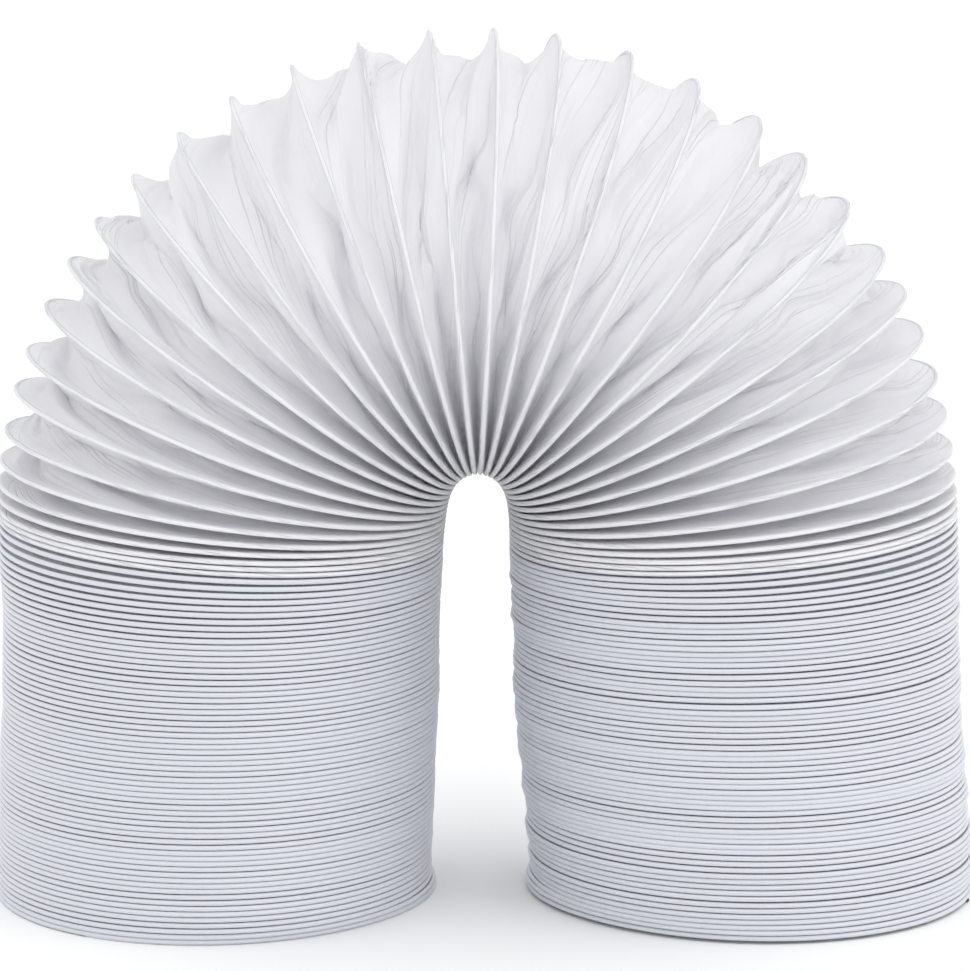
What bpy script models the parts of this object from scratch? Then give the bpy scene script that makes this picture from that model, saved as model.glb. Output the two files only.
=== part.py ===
"""Flexible exhaust duct: a white PVC film sleeve held round by one coiled spring-steel wire.

The duct is pushed together and stands over in an arch on its two ends. Its turns lie close
together in two upright legs and fan out round the crown, where the film shows its folds.
A place along the duct is counted in turns of the wire from the crown: minus to the left
foot, plus to the right foot.
"""

import math

import bmesh
import bpy
import numpy as np

# Driving dimensions, in metres
DUCT_RADIUS = 0.075  # to the outside of the wire
WIRE_THICKNESS = 0.0013  # the wire in its hem of film
FILM_WIDTH = 0.0312  # film from one turn of the wire to the next, laid flat
FILM_WALL = 0.0012  # the film as a solid, thicker than the real 0.15 mm
CLOSED_PITCH = 0.00187  # from turn to turn where the duct is pushed together
CLOSED_MOUTH = 0.0022  # a fold no wider than this between its turns is shut
OPEN_MOUTH = 0.0045  # a fold at least this wide stands fully open
SHUT_RELIEF = 0.0004  # dip between two turns that lie close together
VALLEY_SHARE = 0.35  # level part of a fold's valley, as a share of the fold's mouth
LEG_GAP = 0.0205  # between the legs, just under the crown
LEG_SPLAY = 0.0062  # how far each foot has slipped outwards
CLEARANCE = 0.0003  # between the film and the wire
CLOSE_TURNS_PROUD = 0.00005  # the close turns stand this much outside the fanned ones
RIB_RELIEF = 0.0013  # dip between two ribs of the close turns
LEG_FILM_SET_IN = 0.0008  # the film lies this much further in behind the close turns
FOOT_REVEAL = 0.001  # film that shows below the last turn of wire

# Driving counts
BEND_TURNS = 11.9  # turns from the crown to where the bend has nearly died away
LEAN_POWER = 2.2  # how suddenly the turns stop leaning further
EDGE_POWER = 3.0  # how suddenly the duct's inner edge stops bending
SIDE_TURNS = 79.25  # turns from the crown to each foot
FANNED_TURNS = 17  # turns on each side of the crown that are fanned out
RIB_TURNS = 2  # close turns of wire that one rib stands for
LEG_RINGS = 6  # cross-sections of the film down each leg
FACETS = 20  # flat facets round one turn
PATH_STEPS = 40  # samples of the duct's path in one turn

FILM_RADIUS = DUCT_RADIUS - 0.75 * WIRE_THICKNESS - CLEARANCE - CLOSE_TURNS_PROUD
CLOSE_TURNS_INSIDE = FILM_RADIUS + CLEARANCE


def clear_scene():
    """Remove the objects that the scene holds."""
    for thing in list(bpy.data.objects):
        bpy.data.objects.remove(thing, do_unlink=True)


def finish(name, colour, roughness, metallic):
    """A Principled material of one colour."""
    material = bpy.data.materials.new(name)
    material.use_nodes = True
    shader = material.node_tree.nodes["Principled BSDF"]
    shader.inputs["Base Color"].default_value = (*colour, 1.0)
    shader.inputs["Roughness"].default_value = roughness
    shader.inputs["Metallic"].default_value = metallic
    return material


def closed_object(name, points, faces, material):
    """One closed body from points and faces, with every face turned outwards."""
    mesh = bpy.data.meshes.new(name)
    mesh.from_pydata([tuple(point) for point in points], [], faces)
    shell = bmesh.new()
    shell.from_mesh(mesh)
    bmesh.ops.triangulate(shell, faces=shell.faces)
    bmesh.ops.recalc_face_normals(shell, faces=shell.faces)
    shell.to_mesh(mesh)
    shell.free()
    mesh.shade_smooth()
    mesh.set_sharp_from_angle(angle=math.radians(35))
    mesh.materials.append(material)
    body = bpy.data.objects.new(name, mesh)
    bpy.context.scene.collection.objects.link(body)
    return body


def added_up(rate, step):
    """Running total of a rate that is sampled at even steps."""
    return np.concatenate([[0.0], np.cumsum(0.5 * (rate[1:] + rate[:-1])) * step])


PATH_TURNS, PATH_STEP = np.linspace(0.0, SIDE_TURNS, round(SIDE_TURNS * PATH_STEPS) + 1, retstep=True)


def turned(turns, power):
    """Angle turned on the way from the crown to a foot, 90 degrees in all.

    It grows evenly over the crown and has nearly died away after a number of turns. The
    power says how suddenly it does so.
    """
    angle = added_up(np.exp(-((PATH_TURNS / turns) ** power)), PATH_STEP)
    return 0.5 * math.pi * angle / angle[-1]


LEAN = turned(BEND_TURNS, LEAN_POWER)


def tilt(turn):
    """Lean of a turn's plane: 0 where it is upright at the crown, 90 degrees where it lies flat."""
    return np.sign(turn) * np.interp(np.abs(turn), PATH_TURNS, LEAN)


def inner_edge():
    """Path of the duct's inner edge from the crown to a foot, as x and height.

    The turns touch along it, so it steps by the closed pitch. It heads down sooner than the
    turns lean: as soon as it must to come down at half the gap between the legs.
    """
    reach = added_up(np.cos(turned(BEND_TURNS, EDGE_POWER)), PATH_STEP)[-1] * CLOSED_PITCH
    heading = turned(BEND_TURNS * 0.5 * LEG_GAP / reach, EDGE_POWER)
    out = added_up(np.cos(heading), PATH_STEP) * CLOSED_PITCH
    drop = added_up(np.sin(heading), PATH_STEP) * CLOSED_PITCH
    slip = np.clip((PATH_TURNS - FANNED_TURNS) / (SIDE_TURNS - FANNED_TURNS), 0.0, 1.0) ** 1.5
    return out + LEG_SPLAY * slip, drop[-1] - drop


EDGE_X, EDGE_Z = inner_edge()


def on_turn(turn, angle, radius):
    """Point of a turn at an angle, from 0 on the bend's outside, and a radius from its centre."""
    turn = np.asarray(turn, float)
    lean = tilt(turn)
    edge_x = np.sign(turn) * np.interp(np.abs(turn), PATH_TURNS, EDGE_X)
    edge_z = np.interp(np.abs(turn), PATH_TURNS, EDGE_Z)
    out = DUCT_RADIUS + radius * np.cos(angle)
    across = radius * np.sin(angle)
    return np.stack([edge_x + out * np.sin(lean), across, edge_z + out * np.cos(lean)], axis=-1)


def wire_angle(turn):
    """Where the wire is on its way round: whole turns are on the inside of the bend."""
    return 2.0 * math.pi * (turn + 0.5)


def mouth(turn, angle):
    """Width of a fold between the two turns that hold it."""
    before = on_turn(turn - 0.5, angle, FILM_RADIUS)
    after = on_turn(turn + 0.5, angle, FILM_RADIUS)
    return np.minimum(np.linalg.norm(after - before, axis=-1), 0.95 * FILM_WIDTH)


def flank(width):
    """One side of a fold between turns that are width apart: its length and its sideways run.

    The fold's valley is level for a share of the width, and the two flanks have the rest.
    """
    return 0.5 * (FILM_WIDTH - VALLEY_SHARE * width), 0.5 * (1.0 - VALLEY_SHARE) * width


def fold_depth(width):
    """Depth of a strip of film folded between turns that are width apart."""
    length, run = flank(width)
    return np.sqrt(length**2 - run**2)


def fold_lines(turns, inside):
    """Lines of film under each turn and at both sides of each valley, outside or inside.

    Outside, the crest is under the wire and the fold dips by its depth once it is open.
    Inside, the fold hangs a wall's thickness deeper, and the film is hollow under the crest
    as far as the wall, laid along the fold's slope, lets it be.
    """
    angle = wire_angle(turns)
    width = mouth(turns, angle)
    length, run = flank(width)
    hollow = np.minimum(FILM_WALL * length / run, fold_depth(width) + FILM_WALL)
    crest = on_turn(turns, angle, FILM_RADIUS - (hollow if inside else 0.0))
    before = turns[:-FACETS]
    angle = angle[:-FACETS]
    width = mouth(before + 0.5, angle)
    openness = np.clip((width - CLOSED_MOUTH) / (OPEN_MOUTH - CLOSED_MOUTH), 0.0, 1.0)
    dip = np.maximum(fold_depth(width) * openness, SHUT_RELIEF)
    if inside:
        dip = fold_depth(width) + FILM_WALL
    step = 0.5 * (1.0 - VALLEY_SHARE)
    near, far = (on_turn(before + part, angle, FILM_RADIUS - dip) for part in (step, 1.0 - step))
    return crest, near, far


def ring(turn, radius):
    """Points all round one turn at a constant radius, in step with the wire's samples."""
    start = FANNED_TURNS if turn > 0 else -FANNED_TURNS
    angles = wire_angle(start + np.arange(FACETS) / FACETS)
    return on_turn(np.full(FACETS, turn), angles, radius)


LEG_TOP = FANNED_TURNS + 0.5


def skin(inside):
    """One face of the sleeve from foot to foot: points, faces and the two end loops.

    The fanned part is a screw: sample i of the crest meets sample i + FACETS one turn on.
    The legs are plain rings, joined to the screw's first and last turns.
    """
    radius = FILM_RADIUS - LEG_FILM_SET_IN
    if inside:
        radius = FILM_RADIUS - fold_depth(CLOSED_PITCH) - FILM_WALL
    turns = np.arange(-FANNED_TURNS * FACETS, FANNED_TURNS * FACETS + 1) / FACETS
    crest, near, far = fold_lines(turns, inside)
    points = list(crest) + list(near) + list(far)
    first_near, first_far = len(crest), len(crest) + len(near)
    last = len(near) - 1
    faces = []
    for i in range(last):
        lines = (i, first_near + i, first_far + i, i + FACETS)
        faces.extend((a, a + 1, b + 1, b) for a, b in zip(lines[:-1], lines[1:]))
    loops = []
    for side, first in ((-1, 0), (1, last)):
        upper = None
        for turn in np.linspace(LEG_TOP, SIDE_TURNS, LEG_RINGS):
            lower = [len(points) + k for k in range(FACETS)]
            points.extend(ring(side * turn, radius))
            if upper is None:
                edge = [first + k for k in range(FACETS + 1)]
                faces.extend(
                    (lower[k], lower[(k + 1) % FACETS], edge[k + 1], edge[k])
                    for k in range(FACETS)
                )
                step = (edge[0], first_near + first, first_far + first, edge[-1])
                faces.extend((lower[0], a, b) for a, b in zip(step[:-1], step[1:]))
            else:
                faces.extend(
                    (lower[k], lower[(k + 1) % FACETS], upper[(k + 1) % FACETS], upper[k])
                    for k in range(FACETS)
                )
            upper = lower
        loops.append(upper)
    return points, faces, loops


def film_sleeve(material):
    """The film: an outer and an inner face, joined by a flat ring at each foot."""
    points, faces, outer_loops = skin(inside=False)
    inner_points, inner_faces, inner_loops = skin(inside=True)
    shift = len(points)
    points = points + inner_points
    faces = faces + [tuple(i + shift for i in face) for face in inner_faces]
    for outer, inner in zip(outer_loops, inner_loops):
        for k in range(FACETS):
            after = (k + 1) % FACETS
            faces.append((outer[k], outer[after], inner[after] + shift, inner[k] + shift))
    return closed_object("film_sleeve", points, faces, material)


def fanned_wire(material):
    """The wire's fanned turns: a three-sided rod whose flat side faces the film's crest."""
    half = 0.5 * WIRE_THICKNESS
    centre = DUCT_RADIUS - CLOSE_TURNS_PROUD - half
    last = (FANNED_TURNS + 1) * FACETS
    turns = np.arange(-last, last + 1) / FACETS
    lean = tilt(turns)
    along = np.stack([np.cos(lean), np.zeros_like(lean), -np.sin(lean)], axis=-1)
    rows = []
    for corner in (0.0, 120.0, 240.0):
        outwards = centre + half * math.cos(math.radians(corner))
        sideways = half * math.sin(math.radians(corner))
        rows.append(on_turn(turns, wire_angle(turns), outwards) + sideways * along)
    points = np.stack(rows, axis=1).reshape(-1, 3)
    faces = [(0, 1, 2), tuple(len(points) - corner for corner in (1, 2, 3))]
    for i in range(len(turns) - 1):
        for corner in range(3):
            after = (corner + 1) % 3
            faces.append((3 * i + corner, 3 * i + after, 3 * i + 3 + after, 3 * i + 3 + corner))
    return closed_object("wire_helix", points, faces, material)


def close_turns(side, material):
    """The wire's turns in one leg, which lie so close that they make one thin ribbed tube.

    Its rings run down the ribs on the outside and back up the plain inside.
    """
    foot = SIDE_TURNS - FOOT_REVEAL / CLOSED_PITCH
    ribs = round((foot - LEG_TOP) / RIB_TURNS)
    rings = [(FANNED_TURNS, DUCT_RADIUS)]
    for i, turn in enumerate(np.linspace(LEG_TOP, foot, 2 * ribs + 1)):
        rings.append((turn, DUCT_RADIUS - RIB_RELIEF * (i % 2)))
    for turn in np.linspace(foot, LEG_TOP + 1.0, LEG_RINGS):
        rings.append((turn, CLOSE_TURNS_INSIDE - LEG_FILM_SET_IN))
    rings.append((LEG_TOP, CLOSE_TURNS_INSIDE))
    rings.append((FANNED_TURNS, CLOSE_TURNS_INSIDE))
    points = []
    faces = []
    for row, (turn, radius) in enumerate(rings):
        points.extend(ring(side * turn, radius))
        here = row * FACETS
        there = (row + 1) % len(rings) * FACETS
        for k in range(FACETS):
            after = (k + 1) % FACETS
            faces.append((here + k, here + after, there + after, there + k))
    name = "close_turns_left" if side < 0 else "close_turns_right"
    tube = closed_object(name, points, faces, material)
    tube.hide_render = True
    tube.display_type = "WIRE"
    return tube


def wire_helix(material):
    """The whole wire: its fanned turns, run into the close turns of each leg."""
    wire = fanned_wire(material)
    for side in (-1, 1):
        union = wire.modifiers.new("close turns", "BOOLEAN")
        union.operation = "UNION"
        union.solver = "EXACT"
        union.object = close_turns(side, material)
    return wire


clear_scene()
film_sleeve(finish("white PVC film", (0.83, 0.83, 0.86), 0.38, 0.0))
wire_helix(finish("spring steel wire", (0.62, 0.62, 0.64), 0.35, 1.0))
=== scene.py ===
"""Looks of the exhaust duct: the wire in its hem, the folded film and the studio.

A place along the duct is counted in turns of the wire from the crown, minus to the left foot
and plus to the right foot. All sizes are in metres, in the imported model's frame.
"""

import math

import bpy
import numpy as np
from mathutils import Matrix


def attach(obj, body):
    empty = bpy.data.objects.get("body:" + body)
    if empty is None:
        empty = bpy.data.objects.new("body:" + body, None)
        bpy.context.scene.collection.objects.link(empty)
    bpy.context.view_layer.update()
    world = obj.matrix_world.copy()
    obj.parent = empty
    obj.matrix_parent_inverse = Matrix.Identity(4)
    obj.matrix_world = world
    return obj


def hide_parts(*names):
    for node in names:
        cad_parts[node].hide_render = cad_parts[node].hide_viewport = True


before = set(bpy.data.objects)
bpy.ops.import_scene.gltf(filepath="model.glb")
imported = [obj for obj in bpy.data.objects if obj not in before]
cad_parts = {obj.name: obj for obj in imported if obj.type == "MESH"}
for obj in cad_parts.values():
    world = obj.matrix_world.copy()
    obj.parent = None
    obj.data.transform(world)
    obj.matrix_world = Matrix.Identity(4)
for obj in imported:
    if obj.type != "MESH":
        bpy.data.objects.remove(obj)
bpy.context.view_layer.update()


# ---- The spring wire in its hem ---------------------------------------------------------
# One coil of hard steel wire runs from foot to foot inside a hem welded along the film. Its
# turns lie close together in the legs and fan out round the crown, and each lies nearly in
# one plane on the front of the duct.

duct_radius = 0.075
hem_radius = 0.00082  # the wire with the film round it
turn_pitch = 0.00187  # from turn to turn where they lie close
side_turns = 81.25  # from the crown down to the floor
first_tip = 0.155  # place of the crown's first outermost point, in turns
bend_turns = 11.9  # over which the planes turn from upright to level, on each side
inner_squeeze = 0.1733  # how much closer the turns lie at the inner edge of the bend
leg_gap = 0.0205  # between the legs' inner edges, before they slip outwards
path_turns, path_step = np.linspace(0.0, 83.0, 3321, retstep=True)


def running_total(rate, step):
    """Sum of a rate from its start, by the trapezium rule."""
    return np.concatenate([[0.0], np.cumsum(0.5 * (rate[1:] + rate[:-1])) * step])


def turned(turns, power):
    """Angle turned from the crown, 90 degrees in all: the sum of exp(-(turn / turns) ** power)."""
    angle = running_total(np.exp(-((path_turns / turns) ** power)), path_step)
    return 0.5 * math.pi * angle / angle[-1]


def wander(place, spacing, seed):
    """Smooth random drift between -1 and 1: random heights at even knots, joined by soft steps.

    The first 1024 of the 4096 knots lie before place nought.
    """
    heights = np.random.default_rng(seed).uniform(-1.0, 1.0, 4096)
    knot = np.floor(place / spacing)
    part = place / spacing - knot
    part = part * part * (3.0 - 2.0 * part)
    knot = knot.astype(int) + 1024
    return heights[knot] * (1.0 - part) + heights[knot + 1] * part


# How far each turn's plane leans, and the path of the duct's inner edge out and down from the
# crown. The path bends within so few turns that the legs come to stand leg_gap apart.
lean_of_turn = turned(bend_turns, 2.2)
edge_pitch = turn_pitch * (1.0 - inner_squeeze * np.exp(-((path_turns / 13.0) ** 4)))
edge_reach = running_total(np.cos(turned(bend_turns, 3.0)) * edge_pitch, path_step)[-1]
heading = turned(bend_turns * 0.5 * leg_gap / edge_reach, 3.0)
edge_out = running_total(np.cos(heading) * edge_pitch, path_step)
edge_drop = running_total(np.sin(heading) * edge_pitch, path_step)
foot_drop = np.interp(side_turns, path_turns, edge_drop)

# How far each leg has slipped outwards, by height above the floor
slip_heights = (0.0, 0.009, 0.016, 0.031, 0.038, 0.052, 0.066, 0.086, 0.1, 0.12, 0.15)
left_slip = (0.0056, 0.0055, 0.0052, 0.0046, 0.0043, 0.0038, 0.0028, 0.0026, 0.0022, 0.0012, 0.0)
right_slip = (0.0078, 0.0074, 0.0068, 0.0053, 0.0046, 0.0032, 0.002, 0.0016, 0.001, 0.0004, 0.0)

# How many degrees more the last fanned turns lean than lean_of_turn, by turns from the crown
closing_turns = (9.0, 10.0, 11.0, 12.0, 13.0, 14.0, 15.0, 16.0, 17.0, 18.0, 19.0, 20.0, 24.0, 45.0)
closing_lean = (0.0, 0.6, 1.4, 2.4, 2.2, 1.9, 1.0, 0.0, -1.3, -2.0, -2.2, -2.1, -1.6, 0.0)


def ring(turn):
    """Centre, outward direction, axis and half width of the turn's plane at a place.

    The inner edge runs down the path above, the plane leans by lean_of_turn and the centre
    lies a half width out from the edge. Small bumps set single turns where they have settled,
    and closing_lean closes up the last fanned turns.
    """
    side = np.sign(turn)
    far = np.abs(turn)
    bump = -1.7 * np.exp(-(((turn - 1.5) / 1.1) ** 2)) + 1.2 * np.exp(-(((turn - 7.2) / 1.1) ** 2))
    bump += 0.6 * np.exp(-(((turn + 7.7) / 0.8) ** 2)) + 0.5 * wander(turn, 0.9, 11)
    bump = bump * np.exp(-((far / 14.0) ** 4)) + side * np.interp(far, closing_turns, closing_lean)
    lean = side * np.interp(far, path_turns, lean_of_turn) + np.radians(bump)
    height = foot_drop - np.interp(far, path_turns, edge_drop)
    crown_lift = 0.0007 * np.exp(-((far / 7.0) ** 2))
    left = np.interp(height, slip_heights, left_slip)
    slip = np.where(turn > 0, np.interp(height, slip_heights, right_slip), left)
    slip = slip * np.clip((far - 8.0) / 8.0, 0.0, 1.0)
    half = np.interp(turn, (-30.0, -13.0, 0.0, 8.0), (0.0736, 0.0753, 0.0742, 0.0752))
    out = side * (np.interp(far, path_turns, edge_out) + slip)
    outward = np.stack([np.sin(lean), 0.0 * lean, np.cos(lean)], axis=-1)
    axis = np.stack([np.cos(lean), 0.0 * lean, -np.sin(lean)], axis=-1)
    edge = np.stack([out, 0.0 * out, height + crown_lift], axis=-1)
    return edge + half[..., None] * outward, outward, axis, half


# The right leg's turns lie now tight and now slack, the left leg's nearly even
slack_share = {-1: 0.1, 1: 0.21}


def slack(turn, angle):
    """How far a point of the wire lies from its even place, along the duct.

    Each of three sectors of the ring has its own running total of random changes of pitch,
    less its mean. The sectors blend as one plus the cosine of the angle from each.
    """
    shift = 0.0 * turn
    for side, share in slack_share.items():
        for sector in range(3):
            change = wander(path_turns, 1.0, 40 + 7 * sector + 3 * side)
            change *= np.clip((path_turns - 12.0) / 8.0, 0.0, 1.0)
            total = running_total(change, path_step)
            total -= total[-1] * np.clip((path_turns - 14.0) / (path_turns[-1] - 14.0), 0.0, 1.0)
            weight = (1.0 + np.cos(angle - 2.0 * math.pi * sector / 3.0)) / 3.0
            here = side * share * turn_pitch * weight * np.interp(side * turn, path_turns, total)
            shift = shift + np.where(side * turn > 0.0, here, 0.0)
    return shift


left_end = -81.685
right_end = 81.2
plane_lead = 0.143  # in turns; near 1 / (2 pi), so the wire hardly steps on at the front


def wire(turn):
    """Centre line of the wire, with its outward and axis directions.

    The angle round the ring grows by a whole turn per turn. The plane's place runs ahead or
    behind by the cosine of that angle, so the wire steps on to the next turn at the back.
    The last turns stand out a little on the side of the gap between the legs, and are tucked
    in beside that, at the front.
    """
    angle = 2.0 * math.pi * (turn - first_tip)
    centre, outward, axis, half = ring(turn + plane_lead * np.cos(angle))
    loose = np.clip((np.abs(turn) - 16.0) / 6.0, 0.0, 1.0)
    stray = np.where(turn > 0, 0.0006, 0.00018) * loose
    left_over = np.where(turn > 0, right_end - turn, turn - left_end)
    flare = np.where(turn > 0, 0.0032, 0.0026) * np.exp(-((left_over / 3.0) ** 4))
    flare = flare * (0.5 - 0.5 * np.cos(angle)) ** 6
    tuck = 0.003 * np.exp(-((left_over / 2.4) ** 2))
    tuck = tuck * (0.5 + 0.5 * np.cos(angle - math.radians(125.0))) ** 4
    length = half - hem_radius + stray * wander(turn, 1.7, 5) + (flare - tuck)
    width = 2.0 * duct_radius - half - hem_radius + stray * wander(turn, 2.1, 6) - tuck
    radial = np.cos(angle)[..., None] * outward
    radial = radial - np.sin(angle)[..., None] * np.array([0.0, 1.0, 0.0])
    point = centre + (length * np.cos(angle))[..., None] * outward
    point = point - (width * np.sin(angle))[..., None] * np.array([0.0, 1.0, 0.0])
    point = point + slack(turn, angle)[..., None] * axis
    point[..., 2] = np.maximum(point[..., 2], hem_radius)
    return point, radial, axis


def unit(vectors):
    """The same directions at length one."""
    return vectors / np.linalg.norm(vectors, axis=-1, keepdims=True)


def square_corners(grid):
    """What a grid holds at the four corners of each of its squares, in order round it."""
    return np.stack([grid[:-1, :-1], grid[1:, :-1], grid[1:, 1:], grid[:-1, 1:]], axis=2)


def surface(name, points, material, closed=False, flow=None):
    """A mesh from a grid of points, rows by columns; closed joins its last column to its first.

    Each square of the grid is one face. flow, for a grid that isn't closed, is a grid of two
    distances over the surface that becomes its UV map.
    """
    rows, columns = points.shape[:2]
    number = np.arange(rows * columns).reshape(rows, columns)
    if closed:
        number = np.concatenate([number, number[:, :1]], axis=1)
    corners = square_corners(number).reshape(-1, 4)
    mesh = bpy.data.meshes.new(name)
    mesh.vertices.add(rows * columns)
    mesh.vertices.foreach_set("co", points.astype(np.float32).ravel())
    mesh.loops.add(corners.size)
    mesh.loops.foreach_set("vertex_index", corners.astype(np.int32).ravel())
    mesh.polygons.add(len(corners))
    mesh.polygons.foreach_set("loop_start", np.arange(0, corners.size, 4, dtype=np.int32))
    if flow is not None:
        layer = mesh.uv_layers.new(name="sheet")
        layer.uv.foreach_set("vector", square_corners(flow).astype(np.float32).ravel())
    mesh.update(calc_edges=True)
    mesh.shade_smooth()
    mesh.materials.append(material)
    piece = bpy.data.objects.new(name, mesh)
    bpy.context.scene.collection.objects.link(piece)
    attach(piece, "root")
    return piece


def satin_plastic(name, colour):
    """White PVC with a satin sheen; gives the material and its Principled BSDF."""
    material = bpy.data.materials.new(name)
    material.use_nodes = True
    nodes = material.node_tree.nodes
    plastic = nodes["Principled BSDF"]
    plastic.inputs["Base Color"].default_value = (*colour, 1.0)
    plastic.inputs["Roughness"].default_value = 0.42
    plastic.inputs["IOR"].default_value = 1.5
    return material, plastic


hem_white, _ = satin_plastic("white PVC over the wire", (0.67, 0.685, 0.735))


def hem(name, first, last, per_turn, radius, sides=6):
    """The wire in its hem: a rod carried along the wire's centre line.

    It is a little wider along the duct than it is thick, as the weld lies on its flanks.
    """
    turns = np.linspace(first, last, round((last - first) * per_turn) + 1)
    centre, radial, _ = wire(turns)
    along = unit(np.gradient(centre, axis=0))
    sideways = unit(np.cross(along, radial))
    outwards = np.cross(sideways, along)
    angle = 2.0 * math.pi * np.arange(sides) / sides
    thick = np.cos(angle)[:, None] * outwards[:, None]
    wide = 1.11 * np.sin(angle)[:, None] * sideways[:, None]
    points = centre[:, None] + radius * (thick + wide)
    return surface(name, points[:, ::-1], hem_white, closed=True)


crown_turns = 18.0  # on each side of the crown, fanned out
crown_rows = 112  # points along the wire in one turn, round the crown and in the legs
leg_rows = 96

# Round the crown the film is drawn over the hem, so the rod in it is a little thinner
hem_crown = hem("hem_crown", -crown_turns, crown_turns, crown_rows, 0.85 * hem_radius)
hem("hem_left_leg", left_end, -crown_turns, leg_rows, hem_radius)
hem("hem_right_leg", crown_turns, right_end, leg_rows, hem_radius)
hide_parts("wire_helix")


# ---- The film over the crown ------------------------------------------------------------
# A strip of thin PVC film joins each turn of the wire to the next. It was folded flat inwards
# when the duct was pushed together, and round the crown it is pulled half open again, with
# the old folds left in it.

strip_width = 0.033
fold_slant = 3.4  # strip widths that the slanting folds cross in one turn


def calculated(tree, operation, *terms):
    """Output of a maths node whose terms are values or the outputs of other nodes."""
    node = tree.nodes.new("ShaderNodeMath")
    node.operation = operation
    for term, socket in zip(terms, node.inputs):
        if isinstance(term, bpy.types.NodeSocket):
            tree.links.new(term, socket)
        else:
            socket.default_value = term
    return node.outputs[0]


def thin_film(name, colour, crease_height, crease_scale):
    """White PVC film: the satin plastic, with some light let through, and fine creases.

    The creases are sharp ridges where a noise, drawn out along the sheet's folds, passes its
    mean. A broader noise makes them come and go.
    """
    material, plastic = satin_plastic(name, colour)
    tree = material.node_tree
    nodes, links = tree.nodes, tree.links
    through = nodes.new("ShaderNodeBsdfTranslucent")
    through.inputs["Color"].default_value = (*colour, 1.0)
    mix = nodes.new("ShaderNodeMixShader")
    mix.inputs["Fac"].default_value = 0.27
    links.new(plastic.outputs["BSDF"], mix.inputs[1])
    links.new(through.outputs["BSDF"], mix.inputs[2])
    links.new(mix.outputs["Shader"], nodes["Material Output"].inputs["Surface"])
    sheet = nodes.new("ShaderNodeUVMap")
    sheet.uv_map = "sheet"
    stretch = nodes.new("ShaderNodeMapping")
    stretch.inputs["Scale"].default_value = (crease_scale[0], crease_scale[1], 1.0)
    links.new(sheet.outputs["UV"], stretch.inputs["Vector"])
    noise = nodes.new("ShaderNodeTexNoise")
    noise.noise_dimensions = "2D"
    noise.inputs["Scale"].default_value = 1.0
    noise.inputs["Detail"].default_value = 1.0
    noise.inputs["Roughness"].default_value = 0.4
    noise.inputs["Distortion"].default_value = 0.2
    links.new(stretch.outputs["Vector"], noise.inputs["Vector"])
    from_mean = calculated(tree, "SUBTRACT", noise.outputs["Fac"], 0.5)
    from_ridge = calculated(tree, "ABSOLUTE", from_mean)
    ridge = calculated(tree, "EXPONENT", calculated(tree, "MULTIPLY", from_ridge, -26.0))
    patch = nodes.new("ShaderNodeTexNoise")
    patch.noise_dimensions = "2D"
    patch.inputs["Scale"].default_value = 0.35
    patch.inputs["Detail"].default_value = 0.0
    links.new(stretch.outputs["Vector"], patch.inputs["Vector"])
    present = nodes.new("ShaderNodeMapRange")
    present.inputs["From Min"].default_value = 0.38
    present.inputs["From Max"].default_value = 0.55
    links.new(patch.outputs["Fac"], present.inputs["Value"])
    height = calculated(tree, "MULTIPLY", ridge, present.outputs["Result"])
    bump = nodes.new("ShaderNodeBump")
    bump.inputs["Strength"].default_value = 1.0
    bump.inputs["Distance"].default_value = crease_height
    links.new(height, bump.inputs["Height"])
    links.new(bump.outputs["Normal"], plastic.inputs["Normal"])
    links.new(bump.outputs["Normal"], through.inputs["Normal"])
    return material


film_white = thin_film("white PVC film", (0.962, 0.96, 0.985), 0.00024, (6.0, 280.0))


def turning_power(ratio):
    """Power of the way to the valley by which the film turns inwards to level."""
    return 1.0 - 0.62 * ratio


# The angle that a half strip turns through, from its crest to its valley, for mouths of some
# share of the strip's width: the one whose mean sine is that share
mouth_shares = np.linspace(0.0, 0.98, 50)
half_way = (np.arange(200) + 0.5) / 200
angles = np.radians(np.linspace(0.0, 110.0, 221))
mean_sines = [
    np.sin(angles[:, None] * half_way ** turning_power(share)).mean(axis=1)
    for share in mouth_shares
]
valley_angles = [
    np.interp(share, np.maximum.accumulate(sines), angles)
    for share, sines in zip(mouth_shares, mean_sines)
]


def fold_slope(way, ratio, drift):
    """Slope of the film at a way across the strip, for a mouth of some share of its width.

    From each crest the film turns from straight inwards towards level, as a power of the way
    to the valley, and the valley drifts sideways.
    """
    warped = way + drift * np.sin(math.pi * way)
    to_valley = 1.0 - np.abs(2.0 * warped - 1.0)
    inward = np.interp(ratio, mouth_shares, valley_angles) * to_valley ** turning_power(ratio)
    return np.where(warped < 0.5, inward - 0.5 * math.pi, 0.5 * math.pi - inward)


def leaving_angle(turns):
    """How far round the hem from its crest the film leaves it, by the width of the mouth."""
    mouth = np.linalg.norm(wire(turns + 1.0)[0] - wire(turns)[0], axis=-1)
    return np.radians(np.interp(mouth / strip_width, (0.046, 0.07, 0.5), (60.0, 90.0, 40.0)))


def on_hem(place, way, angle):
    """Point of the hem's skin at an angle round from its crest, one way or the other."""
    centre, radial, axis = wire(place)
    sideways = way * np.sin(angle)[:, None] * axis
    return centre + hem_radius * (np.cos(angle)[:, None] * radial + sideways)


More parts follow.
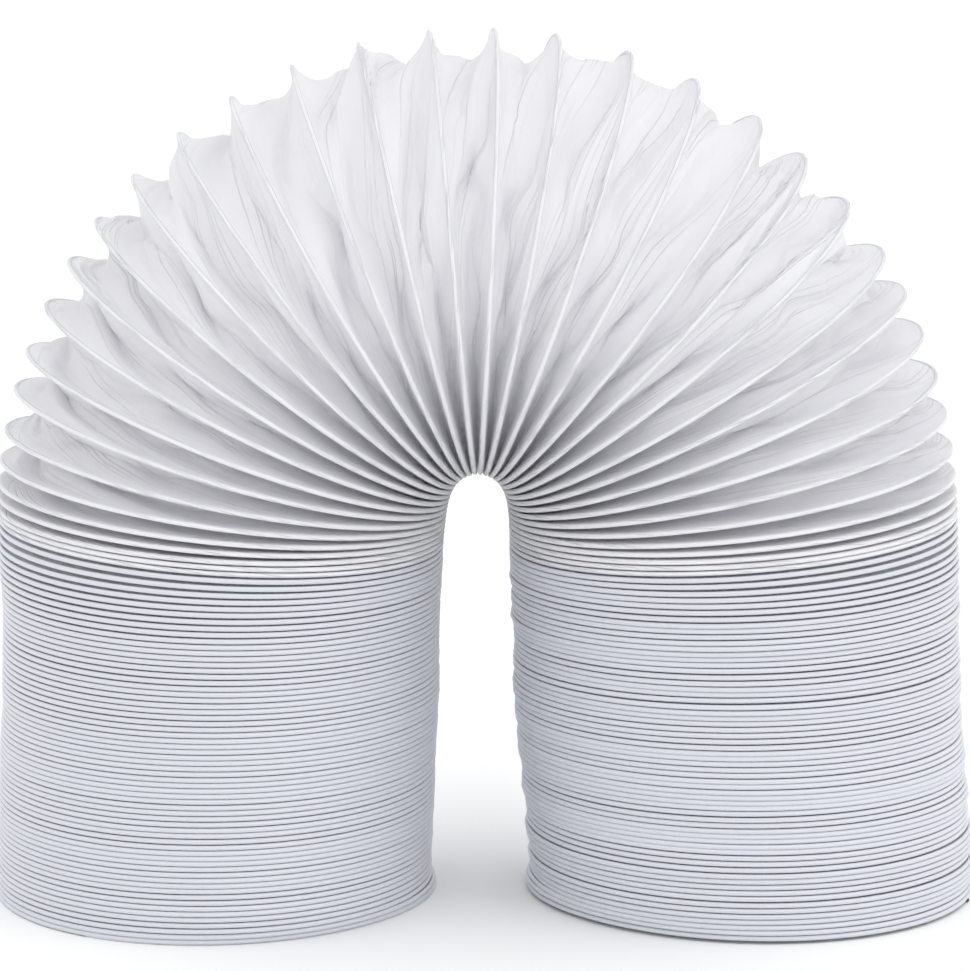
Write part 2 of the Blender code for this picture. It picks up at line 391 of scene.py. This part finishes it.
def folded_strip(turns, columns):
    """The film between the wire and its next turn, as a grid: rows along it, columns across.

    Across, the slope is that of the fold, plus that of many slanting folds: tanh of the sine
    of a phase that is constant along lines which cross the strip as the turn goes on. Both
    ends are set on the hems. The grid comes with each row's share of openness, from 0 where
    the fold is shut to 1.
    """
    leave = leaving_angle(turns)
    near, far = on_hem(turns, 1.0, leave), on_hem(turns + 1.0, -1.0, leave)
    near_radial, far_radial = wire(turns)[1], wire(turns + 1.0)[1]
    span = far - near
    mouth = np.linalg.norm(span, axis=-1)
    across = span / mouth[:, None]
    inward = -(near_radial + far_radial)
    inward = unit(inward - (inward * across).sum(-1, keepdims=True) * across)
    ratio = np.clip(mouth / strip_width, 0.0, 0.96)[:, None]
    openness = np.clip((ratio - 0.05) / 0.4, 0.0, 1.0)
    way = (np.arange(columns) + 0.5) / columns
    slope = fold_slope(way, ratio, openness * 0.2 * wander(turns, 0.15, 90)[:, None])
    line = turns[:, None] + way / fold_slant
    phase = 6.0 * line + 0.6 * wander(line, 0.13, 91) + 0.5 * (way - 0.5) * wander(line, 0.25, 92)
    size = np.radians(44.0) * (0.55 + 0.45 * wander(line, 0.08, 93)) * np.sin(math.pi * way)
    slope += openness * size * np.tanh(np.sin(2.0 * math.pi * phase) / 0.3)
    step = strip_width / columns
    start = np.zeros((len(turns), 1))
    side = np.concatenate([start, np.cumsum(np.cos(slope), axis=1)], axis=1) * step
    depth = np.concatenate([start, np.cumsum(-np.sin(slope), axis=1)], axis=1) * step
    share = np.linspace(0.0, 1.0, columns + 1)
    side = side + (mouth - side[:, -1])[:, None] * share
    depth = depth - depth[:, -1:] * share
    points = near[:, None] + side[..., None] * across[:, None] + depth[..., None] * inward[:, None]
    return points, openness[:, :, None]


def draw_together(points, first, second, least, most, stiffness, hold):
    """Bring the distance of two slices of points between a least and a most; held ones stay."""
    gap = points[second] - points[first]
    size = np.sqrt((gap * gap).sum(-1, keepdims=True)) + 1e-9
    move = gap * (stiffness * (1.0 - np.clip(size, least, most) / size))
    free_first, free_second = hold[first], hold[second]
    move = move / np.maximum(free_first + free_second, 1e-9)
    points[first] += move * free_first
    points[second] -= move * free_second


def settled_strip(turns, columns, rounds):
    """The folded strip as a sheet that neither stretches nor shrinks.

    Pairs of neighbours along, across and both ways on the slant are drawn to their distance
    on the flat strip, in alternate pairs, many times over. Pairs two and four rows apart are
    drawn too, so the folds come out long. The edges are held by the wire, so the length that
    is too much for the valley goes into long slanting folds.
    """
    start, openness = folded_strip(turns, columns)
    points = start.astype(np.float32)
    rows = len(turns)
    hold = np.ones((rows, columns + 1, 1), np.float32)
    hold[:, (0, -1)] = 0.0
    hold[(0, -1), :] = 0.0
    across = np.float32(strip_width / columns)
    edges = np.linalg.norm(np.diff(points[:, (0, -1)], axis=0), axis=-1)
    along = edges.mean(axis=1)[:, None, None].astype(np.float32)
    slant = np.sqrt(along**2 + across**2)
    everything = slice(None)
    target = start.astype(np.float32)
    for _ in range(rounds):
        for odd in (0, 1):
            count = (rows - odd) // 2
            near, far = slice(odd, odd + 2 * count, 2), slice(odd + 1, odd + 1 + 2 * count, 2)
            least, most = 0.9 * along[near], along[near]
            draw_together(points, (near, everything), (far, everything), least, most, 0.9, hold)
            least, most = 0.96 * slant[near], slant[near]
            first, second = (near, slice(0, -1)), (far, slice(1, None))
            draw_together(points, first, second, least, most, 0.6, hold)
            first, second = (near, slice(1, None)), (far, slice(0, -1))
            draw_together(points, first, second, least, most, 0.6, hold)
            first = (everything, slice(odd, columns, 2))
            second = (everything, slice(odd + 1, columns + 1, 2))
            draw_together(points, first, second, 0.98 * across, across, 0.9, hold)
        for stride in (2, 4):
            for shift in range(0, 2 * stride, stride // 2):
                count = (rows - shift) // (2 * stride)
                low = slice(shift, shift + 2 * stride * count - stride, 2 * stride)
                high = slice(shift + stride, shift + 2 * stride * count, 2 * stride)
                first, second = (low, everything), (high, everything)
                straight = stride * along[low]
                draw_together(points, first, second, 0.91 * straight, straight, 0.5, hold)
        points += 0.02 * (target - points) * hold
    return start + (points - start) * openness


def finer(points, times):
    """The grid with times as many rows, on a Catmull-Rom curve through the old ones."""
    last = len(points) - 1
    place = np.linspace(0.0, last, last * times + 1)
    knot = np.minimum(place.astype(int), last - 1)
    t = (place - knot)[:, None, None]
    a, b = points[np.maximum(knot - 1, 0)], points[knot]
    c, d = points[knot + 1], points[np.minimum(knot + 2, last)]
    return b + 0.5 * t * (c - a + t * (2 * a - 5 * b + 4 * c - d + t * (3 * (b - c) + d - a)))


def over_the_hems(turns, film):
    """The film with two more columns at each side, from the hem's crest to where it leaves."""
    leave = leaving_angle(turns)
    sides = [
        on_hem(place, way, part * leave)
        for place, way in ((turns, 1.0), (turns + 1.0, -1.0))
        for part in (0.0, 0.5)
    ]
    before, after = np.stack(sides[:2], axis=1), np.stack([sides[3], sides[2]], axis=1)
    return np.concatenate([before, film, after], axis=1)


# The places where the crown's three pieces of film begin and end. Each strip reaches one turn
# on from its place, so the last ends a turn before the fan does.
film_ends = (-crown_turns, -6.5, 5.0, crown_turns - 1.0)
film_turns = film_ends[-1] - film_ends[0]
turns = np.linspace(film_ends[0], film_ends[-1], round(film_turns * crown_rows) + 1)
film = settled_strip(turns, 32, 60)
for _ in range(2):
    film[1:-1] += 0.25 * (film[2:] + film[:-2] - 2.0 * film[1:-1])
film = finer(film, 2)
turns = np.linspace(film_ends[0], film_ends[-1], len(film))
film = over_the_hems(turns, film)
share = (np.arange(film.shape[1]) - 2.0) / (film.shape[1] - 5.0)
along = turns[:, None] * 2.0 * math.pi * duct_radius + 0.0 * share
across = (share + fold_slant * turns[:, None]) * strip_width
distance = np.stack([along, across], axis=-1)
row_of_end = [round((end - film_ends[0]) * 2 * crown_rows) for end in film_ends]
for name, first, last in zip(("left", "middle", "right"), row_of_end[:-1], row_of_end[1:]):
    points, flow = film[first : last + 1, ::-1], distance[first : last + 1, ::-1]
    piece = surface(f"film_crown_{name}", points, film_white, flow=flow)
    if name == "middle":
        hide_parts("film_sleeve")


# ---- The film in the legs ---------------------------------------------------------------
# The same film, still folded flat between the close turns. Only its shadowed gaps show from
# outside, and the inner edges of the folds from below.


def shut_strip(name, first, last, per_turn):
    """The film folded in two between close turns: in from one hem, a rounded fold, and back.

    The fold lies about half the strip's width in from the hems, a little less here and there.
    """
    turns = np.linspace(first, last, round((last - first) * per_turn) + 1)
    near, near_radial, near_axis = wire(turns)
    far, far_radial, far_axis = wire(turns + 1.0)
    inset = 0.55 * hem_radius
    near = near + inset * near_axis
    far = far - inset * far_axis
    depth = 0.5 * strip_width * (0.94 + 0.05 * wander(turns, 0.13, 31))
    fold = 0.5 * (near + far) - depth[:, None] * unit(near_radial + far_radial)
    lip = 0.25 * (far - near)
    lip_out = 0.0006
    near_lip = fold - lip + lip_out * near_radial
    far_lip = fold + lip + lip_out * far_radial
    points = np.stack([near, near_lip, fold, far_lip, far], axis=1)
    share = np.array([0.0, 0.45, 0.5, 0.55, 1.0]) * strip_width
    distance = np.stack(
        np.broadcast_arrays(turns[:, None] * 2.0 * math.pi * duct_radius, share), axis=-1
    )
    return surface(name, points[:, ::-1], film_white, flow=distance[:, ::-1])


shut_strip("film_left_leg", left_end, film_ends[0], leg_rows)
shut_strip("film_right_leg", film_ends[-1], right_end - 1.0, leg_rows)


# ---- Studio: floor, light and camera ----------------------------------------------------
# A plain pale floor in a white tent that glows all round, and more from the upper right, and
# the photograph's view.

bpy.ops.mesh.primitive_plane_add(size=24.0, location=(0.0, 0.0, 0.0))
floor = bpy.context.object
floor.name = "studio_floor"
floor_paint = bpy.data.materials.new("pale studio floor")
floor_paint.use_nodes = True
floor_look = floor_paint.node_tree.nodes["Principled BSDF"].inputs
floor_look["Base Color"].default_value = (0.98, 0.98, 0.98, 1.0)
floor_look["Roughness"].default_value = 0.9
floor.data.materials.append(floor_paint)

scene = bpy.context.scene
scene.world = bpy.data.worlds.new("studio tent")
scene.world.use_nodes = True
scene.world.cycles.sampling_method = "NONE"
tent = scene.world.node_tree
cloth = tent.nodes["Background"].inputs
cloth["Color"].default_value = (1.0, 1.0, 1.0, 1.0)
direction = tent.nodes.new("ShaderNodeTexCoord")
facing = tent.nodes.new("ShaderNodeVectorMath")
facing.operation = "DOT_PRODUCT"
facing.inputs[1].default_value = (0.547, -0.497, 0.672)  # towards the brightest place
tent.links.new(direction.outputs["Generated"], facing.inputs[0])
lobe = calculated(tent, "MAXIMUM", facing.outputs["Value"], 0.0)
lobe = calculated(tent, "POWER", lobe, 4.0)
glow = calculated(tent, "MULTIPLY_ADD", lobe, 0.5, 1.06)
tent.links.new(glow, cloth["Strength"])

camera = bpy.data.objects.new("camera", bpy.data.cameras.new("camera"))
camera.data.lens = 197.0
camera.data.sensor_width = 36.0
camera.data.clip_end = 60.0
camera.location = (0.0024, -1.747, 0.4744)
camera.rotation_euler = (math.radians(90.0 - 10.88), 0.0, 0.0)
scene.collection.objects.link(camera)
scene.camera = camera
scene.view_settings.view_transform = "Standard"
scene.cycles.max_bounces = 8
